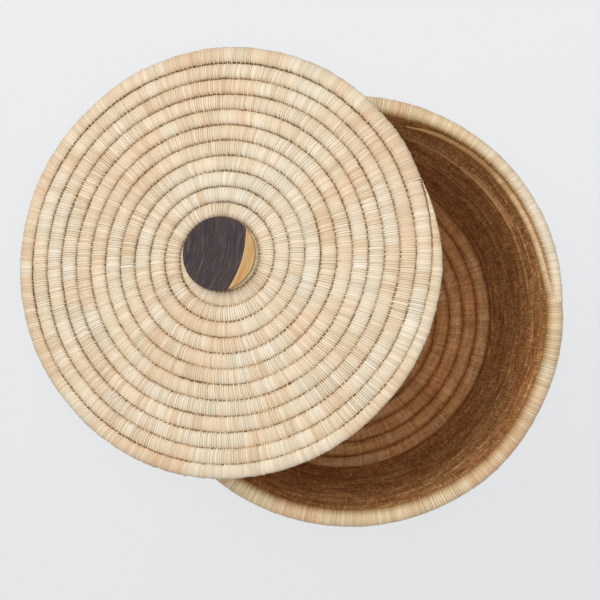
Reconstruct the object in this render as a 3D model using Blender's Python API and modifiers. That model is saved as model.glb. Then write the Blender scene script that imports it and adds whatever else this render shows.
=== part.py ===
"""A round laundry basket sewn from one wrapped grass coil, with a flat coiled lid and a wooden knob.

Metres, +Z up. The origin is where the basket's axis meets the surface that it stands on, and the lid lies
off centre towards -X, tilted on the rim.
"""

import itertools
import math

import bpy

# Coils
POINTS_PER_TURN = 24
COIL_GAP = 0.0005
CORE_SLACK = 0.0004  # added to each of a flat coil's first two turns, which climb the most for their size
SEAT_GAP = 0.0003
HEIGHT_SHARE = math.cos(math.pi / 6)  # a six-sided coil lies on a flat side, a corner to either side
HALF_FLAT_SHARE = 0.25  # half of that flat side, as a share of the coil's width

# Floor
FLOOR_KNOT_RADIUS = 0.0060
FLOOR_COIL_WIDTH = 0.0155
FLOOR_TIP_WIDTH = 0.0050
FLOOR_TAIL_WIDTH = 0.0025
FLOOR_START_ANGLE = math.radians(132)

# Wall
WALL_TOP_RADIUS = 0.1984
WALL_LEAN = 0.0121  # how much narrower the foot is than the top
WALL_HEIGHT = 0.3000
WALL_COURSES = 20
WALL_THICKNESS = 0.0155
GROOVE_SHARE = 0.52

# Rim
RIM_OVERHANG = 0.0003  # how much further out the rim's coil lies than the top of the wall
RIM_COIL_WIDTH = 0.0160
RIM_COURSES = 1
RIM_TIP_SHARE = 0.12
RIM_START_ANGLE = math.radians(75)
RIM_TAPER_TURN = 4 / POINTS_PER_TURN
RIM_SIDESTEP = 0.0040

# Lid
LID_COIL_WIDTH = 0.0143
LID_TIP_WIDTH = 0.0044
LID_FULL_TURNS = 12 + 22 / POINTS_PER_TURN
LID_START_ANGLE = math.radians(72)
LID_EDGE_WIDTH = 0.0092
LID_EDGE_NARROWING_TURN = 8 / POINTS_PER_TURN
LID_EDGE_TAPER_TURN = 2 / POINTS_PER_TURN
LID_EDGE_TIP_WIDTH = 0.0024

# Collar under the lid
COLLAR_CLEARANCE = 0.0085  # all round, between the collar and the rim, when the lid lies level
COLLAR_COIL_WIDTH = 0.0124
COLLAR_COURSES = 2
COLLAR_TIP_SHARE = 0.15
COLLAR_TAPER_TURN = 4 / POINTS_PER_TURN
COLLAR_START_ANGLE = math.radians(210)

# Knob and its fastening
KNOB_RADIUS = 0.0348
KNOB_DISC_HEIGHT = 0.0100
KNOB_EDGE_ROUND = 0.0012
KNOB_FOOT_RADIUS = 0.0250
KNOB_FOOT_HEIGHT = 0.0022
SCREW_SHANK_RADIUS = 0.0021
SCREW_HEAD_RADIUS = 0.0042
SCREW_HEAD_HEIGHT = 0.0026
SCREW_GRIP = 0.0080
SCREW_TIP_LENGTH = 0.0030
WASHER_RADIUS = 0.0130
WASHER_THICKNESS = 0.0015
TURNED_STEPS = 32
SMALL_STEPS = 16

# Lid's place on the rim
LID_SHIFT = 0.1298
REST_ROUNDS = 20  # rounds that settle the lid's tilt; each changes it less than the one before

RIM_RADIUS = WALL_TOP_RADIUS + RIM_OVERHANG
COLLAR_RADIUS = RIM_RADIUS - RIM_COIL_WIDTH / 2 - COLLAR_CLEARANCE - COLLAR_COIL_WIDTH / 2
FOOT_RADIUS = WALL_TOP_RADIUS - WALL_LEAN
FLOOR_HEIGHT = FLOOR_COIL_WIDTH * HEIGHT_SHARE
WALL_FOOT_HEIGHT = FLOOR_HEIGHT + SEAT_GAP
WALL_TOP_HEIGHT = WALL_FOOT_HEIGHT + WALL_HEIGHT
RIM_FOOT_HEIGHT = WALL_TOP_HEIGHT + SEAT_GAP
RIM_HEIGHT = RIM_COURSES * (RIM_COIL_WIDTH * HEIGHT_SHARE + COIL_GAP) - COIL_GAP
RIM_TOP_HEIGHT = RIM_FOOT_HEIGHT + RIM_HEIGHT
LID_HEIGHT = LID_COIL_WIDTH * HEIGHT_SHARE
COLLAR_COURSE_HEIGHT = COLLAR_COIL_WIDTH * HEIGHT_SHARE

FULL_TURN = 2 * math.pi


def clear_scene():
    for item in list(bpy.data.objects):
        bpy.data.objects.remove(item)


def material(name, color, roughness, metallic=0.0):
    made = bpy.data.materials.new(name)
    made.use_nodes = True
    shader = made.node_tree.nodes["Principled BSDF"]
    shader.inputs["Base Color"].default_value = (*color, 1.0)
    shader.inputs["Roughness"].default_value = roughness
    shader.inputs["Metallic"].default_value = metallic
    made.diffuse_color = (*color, 1.0)
    return made


def at(radius, angle, height):
    return (radius * math.cos(angle), radius * math.sin(angle), height)


def mid_chord(a, b, offset):
    """The point half way from a to b, moved on towards b by the offset."""
    share = 0.5 + offset / math.dist(a, b)
    return tuple(start + (end - start) * share for start, end in zip(a, b))


def coil(name, points, widths, full_width, look, collection):
    """One unbroken tube with a flat side down, its caps closed."""
    curve = bpy.data.curves.new(name, "CURVE")
    curve.dimensions = "3D"
    curve.twist_mode = "Z_UP"
    curve.bevel_depth = full_width / 2
    curve.bevel_resolution = 1
    curve.use_fill_caps = True
    spline = curve.splines.new("POLY")
    spline.points.add(len(points) - 1)
    for point, place, width in zip(spline.points, points, widths):
        point.co = (*place, 1.0)
        point.radius = width / full_width
    curve.materials.append(look)
    made = bpy.data.objects.new(name, curve)
    collection.objects.link(made)
    return made


def turned(name, profile, steps, look, collection, closed=False):
    """A turned solid: the profile, as (radius, height) pairs, runs down its outer side."""
    mesh = bpy.data.meshes.new(name)
    count = len(profile)
    edges = [(i, i + 1) for i in range(count - 1)]
    if closed:
        edges.append((count - 1, 0))
    mesh.from_pydata([(radius, 0.0, height) for radius, height in profile], edges, [])
    mesh.materials.append(look)
    made = bpy.data.objects.new(name, mesh)
    collection.objects.link(made)
    screw = made.modifiers.new("Turn", "SCREW")
    screw.axis = "Z"
    screw.angle = FULL_TURN
    screw.steps = steps
    screw.render_steps = steps
    screw.use_merge_vertices = True
    screw.merge_threshold = 0.00001
    screw.use_smooth_shade = False
    return made


def arc(centre_radius, centre_height, size, start, end, count):
    """Points of a quarter round or less, as (radius, height) pairs, from one angle to the other."""
    pairs = []
    for i in range(count + 1):
        angle = math.radians(start + (end - start) * i / count)
        pairs.append((centre_radius + size * math.cos(angle), centre_height + size * math.sin(angle)))
    return pairs


def report_gap(name, gaps):
    print(f"{name}: least gap to itself {min(gaps) * 1000:.2f} mm")


def flat_gaps(points, widths):
    """Clear distances between points of a flat coil that are most of a turn or more apart."""
    apart = POINTS_PER_TURN * 3 // 4
    for i in range(len(points)):
        for j in range(i + apart, min(len(points), i + 2 * POINTS_PER_TURN)):
            yield math.dist(points[i], points[j]) - (widths[i] + widths[j]) / 2


def stacked_gaps(points, widths):
    """Clear heights between points of a stacked coil that are one turn apart."""
    for i in range(len(points) - POINTS_PER_TURN):
        j = i + POINTS_PER_TURN
        yield points[j][2] - points[i][2] - HEIGHT_SHARE * (widths[i] + widths[j]) / 2


def spiral(core_radius, tip_width, full_width, turn):
    """Centre-line radius and width of a flat coil that thickens over its first turn, then keeps even."""
    start = core_radius + COIL_GAP + tip_width / 2 + CORE_SLACK * min(turn, 2)
    first_growth = (tip_width + full_width) / 2 + COIL_GAP
    if turn < 1:
        return start + first_growth * turn, tip_width + (full_width - tip_width) * turn
    return start + first_growth + (full_width + COIL_GAP) * (turn - 1), full_width


def floor_course(turn):
    """The floor coil winds outwards until it reaches the foot of the wall, then thins along that circle."""
    radius, width = spiral(FLOOR_KNOT_RADIUS, FLOOR_TIP_WIDTH, FLOOR_COIL_WIDTH, turn)
    edge = FOOT_RADIUS + WALL_THICKNESS / 2
    inner = radius - width / 2
    width = min(width, edge - inner)
    return inner + width / 2, width


def floor_coil(look, collection):
    points, widths = [], []
    for i in itertools.count():
        turn = i / POINTS_PER_TURN
        radius, width = floor_course(turn)
        if turn > 1 and width < FLOOR_TAIL_WIDTH:
            break
        points.append(at(radius, FLOOR_START_ANGLE - FULL_TURN * turn, FLOOR_HEIGHT / 2))
        widths.append(width)
    report_gap("floor_coil", flat_gaps(points, widths))
    return coil("floor_coil", points, widths, FLOOR_COIL_WIDTH, look, collection)


def floor_centre_knot(look, collection):
    """The bound end of the grass bundle, which the floor coil starts around."""
    crown = FLOOR_KNOT_RADIUS / 2
    shoulder = FLOOR_HEIGHT - crown
    top = arc(FLOOR_KNOT_RADIUS - crown, shoulder, crown, 90, 0, 3)
    heel = arc(FLOOR_KNOT_RADIUS - crown / 2, crown / 2, crown / 2, 0, -90, 2)
    profile = [(0.0, FLOOR_HEIGHT), *top, *heel, (0.0, 0.0)]
    return turned("floor_centre_knot", profile, SMALL_STEPS, look, collection)


def wall_radius(height):
    share = (height - WALL_FOOT_HEIGHT) / (WALL_TOP_HEIGHT - WALL_FOOT_HEIGHT)
    return FOOT_RADIUS + (WALL_TOP_RADIUS - FOOT_RADIUS) * share


def wall_coils(look, collection):
    """The wall's courses as one turned shell, with a ridge inside and outside for each course."""
    half = WALL_HEIGHT / WALL_COURSES / 2
    outer, inner = [], []
    for i in range(2 * WALL_COURSES + 1):
        height = WALL_FOOT_HEIGHT + i * half
        reach = WALL_THICKNESS / 2 * (1.0 if i % 2 else GROOVE_SHARE)
        outer.append((wall_radius(height) + reach, height))
        inner.append((wall_radius(height) - reach, height))
    return turned("wall_coils", [*reversed(outer), *inner], POINTS_PER_TURN, look, collection, closed=True)


def level_coil(radius, width, courses, taper_turn, tip_share, start_angle, sidestep):
    """Points and widths of stacked courses that stay level: the coil swells as it starts, each course steps
    up over it, and the tail thins over the same stretch. Heights count from the underside of the stack."""
    height = width * HEIGHT_SHARE
    steps = round(taper_turn * POINTS_PER_TURN)
    level = courses * (height + COIL_GAP) - COIL_GAP
    tops, places, widths = {}, [], []
    for i in range(courses * POINTS_PER_TURN + steps + 1):
        course, step = divmod(i, POINTS_PER_TURN)
        swell = min(1.0, tip_share + (1 - tip_share) * step / steps)
        foot = tops[i - POINTS_PER_TURN] + COIL_GAP if course else 0.0
        share = 1.0 if course else swell
        if course == courses:
            share = (level - foot) / height
        if share < tip_share:
            break
        aside = sidestep * swell if course == courses else -sidestep * (1 - swell)
        tops[i] = foot + share * height
        angle = start_angle - FULL_TURN * i / POINTS_PER_TURN
        places.append(at(radius + aside, angle, foot + share * height / 2))
        widths.append(share * width)
    return places, widths


def raised(points, height):
    return [(x, y, z + height) for x, y, z in points]


def rim_coil(look, collection):
    size = (RIM_RADIUS, RIM_COIL_WIDTH, RIM_COURSES)
    points, widths = level_coil(*size, RIM_TAPER_TURN, RIM_TIP_SHARE, RIM_START_ANGLE, RIM_SIDESTEP)
    report_gap("rim_coil", stacked_gaps(points, widths))
    return coil("rim_coil", raised(points, RIM_FOOT_HEIGHT), widths, RIM_COIL_WIDTH, look, collection)


def lid_course(turn):
    return spiral(SCREW_SHANK_RADIUS + COIL_GAP, LID_TIP_WIDTH, LID_COIL_WIDTH, turn)


def lid_place(radius, turn):
    return at(radius, LID_START_ANGLE + FULL_TURN * turn, LID_HEIGHT / 2)


def lid_coil(look, collection):
    points, widths = [], []
    for i in range(round(LID_FULL_TURNS * POINTS_PER_TURN) + 1):
        turn = i / POINTS_PER_TURN
        radius, width = lid_course(turn)
        points.append(lid_place(radius, turn))
        widths.append(width)
    after = LID_FULL_TURNS + 1 / POINTS_PER_TURN
    points.append(mid_chord(points[-1], lid_place(lid_course(after)[0], after), -SEAT_GAP / 2))
    widths.append(LID_COIL_WIDTH)
    report_gap("lid_coil", flat_gaps(points, widths))
    return coil("lid_coil", points, widths, LID_COIL_WIDTH, look, collection)


def lid_edge_coil(look, collection):
    """The lid's last course, butted to the others; it narrows over its last third and ends in a tip."""
    points, widths = [], []
    for i in range(POINTS_PER_TURN + 1):
        turn = LID_FULL_TURNS + i / POINTS_PER_TURN
        radius, width = lid_course(turn)
        inner = radius - width / 2
        left = 1 - i / POINTS_PER_TURN
        if left < LID_EDGE_TAPER_TURN:
            share = left / LID_EDGE_TAPER_TURN
            width = LID_EDGE_TIP_WIDTH + (LID_EDGE_WIDTH - LID_EDGE_TIP_WIDTH) * share
        else:
            share = min(1.0, (left - LID_EDGE_TAPER_TURN) / LID_EDGE_NARROWING_TURN)
            width = LID_EDGE_WIDTH + (width - LID_EDGE_WIDTH) * share
        points.append(lid_place(inner + width / 2, turn))
        widths.append(width)
    points[0] = mid_chord(points[0], points[1], SEAT_GAP / 2)
    return coil("lid_edge_coil", points, widths, LID_COIL_WIDTH, look, collection)


def collar_depth():
    return COLLAR_COURSES * (COLLAR_COURSE_HEIGHT + COIL_GAP) - COIL_GAP + SEAT_GAP


def lid_collar(look, collection):
    size = (COLLAR_RADIUS, COLLAR_COIL_WIDTH, COLLAR_COURSES)
    points, widths = level_coil(*size, COLLAR_TAPER_TURN, COLLAR_TIP_SHARE, COLLAR_START_ANGLE, 0.0)
    report_gap("lid_collar", stacked_gaps(points, widths))
    return coil("lid_collar", raised(points, -collar_depth()), widths, COLLAR_COIL_WIDTH, look, collection)


def knob(look, collection):
    """A turned wooden disc on a smaller foot, bored from below for its screw."""
    foot = LID_HEIGHT + SEAT_GAP
    disc = foot + KNOB_FOOT_HEIGHT
    top = disc + KNOB_DISC_HEIGHT
    side = KNOB_RADIUS - KNOB_EDGE_ROUND
    bore = SCREW_SHANK_RADIUS + SEAT_GAP
    profile = [
        (0.0, top),
        *arc(side, top - KNOB_EDGE_ROUND, KNOB_EDGE_ROUND, 90, 0, 3),
        *arc(side, disc + KNOB_EDGE_ROUND, KNOB_EDGE_ROUND, 0, -90, 3),
        (KNOB_FOOT_RADIUS, disc),
        (KNOB_FOOT_RADIUS, foot),
        (bore, foot),
        (bore, foot + SCREW_GRIP + SEAT_GAP),
        (0.0, foot + SCREW_GRIP + SEAT_GAP),
    ]
    return turned("knob", profile, TURNED_STEPS, look, collection)


def knob_washer(look, collection):
    inner = SCREW_SHANK_RADIUS + SEAT_GAP
    top = -SEAT_GAP
    foot = top - WASHER_THICKNESS
    profile = [(WASHER_RADIUS, top), (WASHER_RADIUS, foot), (inner, foot), (inner, top)]
    return turned("knob_washer", profile, SMALL_STEPS, look, collection, closed=True)


def knob_screw(look, collection):
    """A round-headed screw, up through the washer and the lid's centre into the knob."""
    seat = -2 * SEAT_GAP - WASHER_THICKNESS
    tip = LID_HEIGHT + SEAT_GAP + SCREW_GRIP
    crown = SCREW_HEAD_RADIUS / 3
    profile = [
        (0.0, tip),
        (SCREW_SHANK_RADIUS, tip - SCREW_TIP_LENGTH),
        (SCREW_SHANK_RADIUS, seat),
        (SCREW_HEAD_RADIUS, seat),
        (SCREW_HEAD_RADIUS, seat - SCREW_HEAD_HEIGHT + crown),
        (SCREW_HEAD_RADIUS - crown, seat - SCREW_HEAD_HEIGHT),
        (0.0, seat - SCREW_HEAD_HEIGHT),
    ]
    return turned("knob_screw", profile, SMALL_STEPS, look, collection)


def lid_rest():
    """Tilt and height at which the lid's underside and its collar both lie on the rim."""
    rim_edge = RIM_RADIUS + RIM_COIL_WIDTH * HALF_FLAT_SHARE
    collar_flat = COLLAR_RADIUS - COLLAR_COIL_WIDTH * HALF_FLAT_SHARE
    collar_edge = collar_flat * math.cos(math.pi / POINTS_PER_TURN)
    depth = collar_depth()
    tilt = 0.0
    for _ in range(REST_ROUNDS):
        centre = -LID_SHIFT + depth * math.sin(tilt)
        across = (rim_edge**2 - centre**2 - collar_edge**2) / (2 * centre * collar_edge * math.cos(tilt))
        crossing = centre + collar_edge * math.cos(tilt) * across
        tilt = math.asin(depth / (crossing + rim_edge))
    height = RIM_TOP_HEIGHT + SEAT_GAP + (rim_edge - LID_SHIFT) * math.tan(tilt)
    return tilt, height


def main():
    clear_scene()
    parts = bpy.data.collections.new("lidded_laundry_basket")
    bpy.context.scene.collection.children.link(parts)

    floor_straw = material("floor_straw", (0.62, 0.44, 0.26), 0.75)
    wall_straw = material("wall_straw", (0.66, 0.49, 0.30), 0.75)
    rim_straw = material("rim_straw", (0.76, 0.62, 0.42), 0.70)
    lid_straw = material("lid_straw", (0.80, 0.66, 0.45), 0.70)
    edge_straw = material("edge_straw", (0.78, 0.63, 0.42), 0.70)
    collar_straw = material("collar_straw", (0.70, 0.54, 0.34), 0.75)
    knot_straw = material("knot_straw", (0.55, 0.40, 0.24), 0.80)
    two_tone_wood = material("two_tone_wood", (0.075, 0.056, 0.062), 0.45)
    screw_steel = material("screw_steel", (0.55, 0.55, 0.56), 0.35, 1.0)
    washer_steel = material("washer_steel", (0.58, 0.58, 0.58), 0.40, 1.0)

    floor_centre_knot(knot_straw, parts)
    floor_coil(floor_straw, parts)
    wall_coils(wall_straw, parts)
    rim_coil(rim_straw, parts)

    tilt, height = lid_rest()
    lid = bpy.data.objects.new("lid_seat", None)
    lid.location = (-LID_SHIFT, 0.0, height)
    lid.rotation_euler = (0.0, -tilt, 0.0)
    parts.objects.link(lid)
    lid_pieces = [
        lid_coil(lid_straw, parts),
        lid_edge_coil(edge_straw, parts),
        lid_collar(collar_straw, parts),
        knob(two_tone_wood, parts),
        knob_washer(washer_steel, parts),
        knob_screw(screw_steel, parts),
    ]
    for piece in lid_pieces:
        piece.parent = lid
    print(f"lid: tilt {math.degrees(tilt):.2f} degrees, underside at its centre {height * 1000:.1f} mm up")
    print(f"rim: top {RIM_TOP_HEIGHT * 1000:.1f} mm up")


main()
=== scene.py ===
# Looks of a coiled straw basket with a loose coiled lid and a two-tone wooden knob
import math

import bmesh
import bpy
import numpy as np
from mathutils import Matrix, Vector, noise


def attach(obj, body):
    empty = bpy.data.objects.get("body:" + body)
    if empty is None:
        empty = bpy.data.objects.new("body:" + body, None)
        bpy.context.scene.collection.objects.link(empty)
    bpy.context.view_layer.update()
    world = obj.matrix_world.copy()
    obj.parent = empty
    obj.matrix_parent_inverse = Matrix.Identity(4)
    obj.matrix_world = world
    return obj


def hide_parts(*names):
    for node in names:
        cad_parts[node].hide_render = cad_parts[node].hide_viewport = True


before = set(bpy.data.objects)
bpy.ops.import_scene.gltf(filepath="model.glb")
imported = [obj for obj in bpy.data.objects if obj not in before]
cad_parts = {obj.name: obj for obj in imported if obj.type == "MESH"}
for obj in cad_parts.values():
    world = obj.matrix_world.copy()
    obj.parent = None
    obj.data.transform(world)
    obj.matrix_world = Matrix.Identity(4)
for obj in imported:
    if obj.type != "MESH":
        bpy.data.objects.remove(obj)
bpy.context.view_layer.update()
print("frame loaded:", len(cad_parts), "nodes")

fullTurn = 2 * math.pi
pathSteps = 72  # path points in one turn of a coil
wanderScale = 2.2  # how often a course strays in and out as it goes round
hair = 0.0001  # how near counts as the same place

# where the camera stood: above the basket, turned so that the lid lies to the upper left
view = {
    "place": (-0.0527, -0.0447, 1.756),
    "aim": (-0.0494, -0.0091, 0.328),
    "turn": 22,
    "lens": 88.8,
}


def deselectAll():
    if bpy.context.mode != "OBJECT":
        bpy.ops.object.mode_set(mode="OBJECT")
    bpy.ops.object.select_all(action="DESELECT")


def pick(obj):
    deselectAll()
    obj.select_set(True)
    bpy.context.view_layer.objects.active = obj


def addCylinder(name, sides, radius, low, high):
    # left in edit mode, selected all over
    deselectAll()
    bpy.ops.mesh.primitive_cylinder_add(vertices=sides, radius=radius, depth=high - low,
                                        location=(0, 0, (low + high) / 2))
    made = bpy.context.object
    made.name = name
    bpy.ops.object.transform_apply(location=True, rotation=True, scale=True)
    bpy.ops.object.mode_set(mode="EDIT")
    bpy.ops.mesh.select_mode(type="FACE")
    return made


def addCamera():
    data = bpy.data.cameras.new("camera")
    data.lens = view["lens"]
    camera = bpy.data.objects.new("camera", data)
    bpy.context.scene.collection.objects.link(camera)
    turn = math.radians(view["turn"])
    back = (Vector(view["place"]) - Vector(view["aim"])).normalized()
    right = Vector((-math.sin(turn), math.cos(turn), 0)).cross(back).normalized()
    up = back.cross(right)
    camera.matrix_world = Matrix.Translation(view["place"]) @ Matrix((right, up, back)).transposed().to_4x4()
    bpy.context.scene.camera = camera


addCamera()
print("camera set")


# Shader maths written as plain expressions: a wire is one output socket
class Wire:
    def __init__(self, tree, socket=None):
        self.tree = tree
        self.socket = socket

    def node(self, kind, settings=None, inputs=None, output=0):
        made = self.tree.nodes.new(kind)
        for name, value in (settings or {}).items():
            if name == "stops":
                ramp = made.color_ramp.elements
                while len(ramp) < len(value):
                    ramp.new(0.5)
                for stop, (place, color) in zip(ramp, value):
                    stop.position = place
                    stop.color = color
            else:
                setattr(made, name, value)
        for name, value in (inputs or {}).items():
            if isinstance(value, Wire):
                self.tree.links.new(value.socket, made.inputs[name])
            else:
                made.inputs[name].default_value = value
        return Wire(self.tree, made.outputs[output])

    def math(self, operation, first, second=0.0, clamp=False):
        settings = {"operation": operation, "use_clamp": clamp}
        return self.node("ShaderNodeMath", settings, {0: first, 1: second})

    def __add__(self, other):
        return self.math("ADD", self, other)

    __radd__ = __add__

    def __sub__(self, other):
        return self.math("SUBTRACT", self, other)

    def __rsub__(self, other):
        return self.math("SUBTRACT", other, self)

    def __mul__(self, other):
        return self.math("MULTIPLY", self, other)

    __rmul__ = __mul__

    def __pow__(self, other):
        return self.math("POWER", self, other)

    def other(self, name):
        # another output of the same node
        return Wire(self.tree, self.socket.node.outputs[name])

    def clamped(self):
        return self.math("ADD", self, 0.0, clamp=True)

    def smooth(self, low, high):
        inputs = {"Value": self, "From Min": low, "From Max": high}
        return self.node("ShaderNodeMapRange", {"interpolation_type": "SMOOTHSTEP"}, inputs)

    def mixed(self, first, second):
        return self.node("ShaderNodeMix", {"data_type": "RGBA"}, {0: self, 6: first, 7: second}, 2)

    def times(self, color):
        settings = {"data_type": "RGBA", "blend_type": "MULTIPLY"}
        return self.node("ShaderNodeMix", settings, {0: 1.0, 6: self, 7: color}, 2)

    def tint(self, warmth=0.0):
        # a brightness as a colour: with some warmth the dark of it is redder and the light of it greyer
        green, blue = self ** (1 + 0.35 * warmth), self ** (1 + 0.8 * warmth)
        return self.node("ShaderNodeCombineColor", inputs={0: self, 1: green, 2: blue})

    def cloud(self, scale, detail):
        # soft random values from 0 to 1, at this place in space
        inputs = {"Vector": self, "Scale": scale, "Detail": detail}
        return self.node("ShaderNodeTexNoise", inputs=inputs, output="Fac")

    def streaks(self, across, detail, roughness=0.5):
        # the same on a flat sheet: this value along it and another across it
        place = self.node("ShaderNodeCombineXYZ", inputs={0: self, 1: across})
        inputs = {"Vector": place, "Scale": 1.0, "Detail": detail, "Roughness": roughness}
        return self.node("ShaderNodeTexNoise", {"noise_dimensions": "2D"}, inputs, "Fac")

    def ramp(self, colors):
        # the colours at even steps from 0 to 1
        stops = [(i / (len(colors) - 1), color) for i, color in enumerate(colors)]
        return self.node("ShaderNodeValToRGB", {"stops": stops}, {0: self}, "Color")


def fromHex(text):
    parts = [int(text[i:i + 2], 16) / 255 for i in (0, 2, 4)]
    linear = [part / 12.92 if part <= 0.04045 else ((part + 0.055) / 1.055) ** 2.4 for part in parts]
    return (*linear, 1.0)


def newMaterial(name, **fixed):
    made = bpy.data.materials.new(name)
    made.use_nodes = True
    shader = made.node_tree.nodes["Principled BSDF"]
    for socket, value in fixed.items():
        shader.inputs[socket.replace("_", " ")].default_value = value
    return made, shader, Wire(made.node_tree)


def connect(wire, socket):
    wire.tree.links.new(wire.socket, socket)


# Straw: each coil's mesh carries one colour attribute, painted wrap by wrap when the coil is made
# red is the strip's tone, green how light it is, blue how near a point is to the gap between two strips,
# where the material paints shade with the gap's own dark, and alpha how far the strip's stitch reaches over
# the course before
bleachedStraw = {
    "tones": ("EBE3CF", "EDE0CA", "EDDBC0", "EAD3B6", "E7CAAA"),
    "shoulder": "DAAE6E",
    "gap": "4E300A",
    "groove": "583403",
    "spread": 0.22,  # how much lighter or darker one strip is than the next
    "drift": 0.9,  # how far the tone wanders over a hand's width
    "speckle": 0.0,
    "roundShade": 0.0,  # painted shade: how much darker a course turns towards both its neighbours
}
rimShade = {
    "tones": ("E3D8BE", "E8D5B3", "E7CFA9", "E5C6A6", "DFBA90", "AC8354"),
    "shoulder": "D8B287",
    "gap": "6A441E",
    "groove": "683E18",
    "spread": 0.24,
    "drift": 0.3,
    "speckle": 0.0,
    "roundShade": 0.0,
}
# painted shade of the basket's inside: darker, warmer copies of the straw, one for the floor and one for the
# wall
floorShadedStraw = {
    "tones": ("DEB181", "E1AD79", "E0A772", "DBA26C", "D69962"),
    "shoulder": "B57642",
    "gap": "6E401A",
    "groove": "7C481C",
    "spread": 0.3,
    "drift": 0.3,
    "speckle": 0.45,
    "roundShade": 0.6,
}
wallShadedStraw = {
    "tones": ("FBC38A", "E7B37A", "DDA36B", "D49761", "CA8A55"),
    "shoulder": "A36B3B",
    "gap": "5E3A1C",
    "groove": "583414",
    "spread": 0.4,
    "drift": 0.3,
    "speckle": 0.8,
    "roundShade": 0.3,
}
rimInnerShade = ("FFFFFF", "FEFDFC", "F3F2EC", "E9E4DB", "E2D1B6", "DFBB89")  # painted shade, from the rim's crest down inside
strawGrain = {
    "speckle": 480.0,  # cycles to the metre, from fine to broad
    "blotch": 95.0,
    "patch": 28.0,
    "broad": 11.0,
    "streak": (0.1, 10.0),  # cycles to the wrap and to the turn round the coil
    "fibre": (7.0, 4.0),
    "bump": 0.0002,
    "blend": 0.002,  # over which the painted shade of the inside gives way at the foot
    "teeth": "7A4E22",  # the dark between two stitches on the inner side of the rim: painted shade, with the gap's own dark
}


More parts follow.
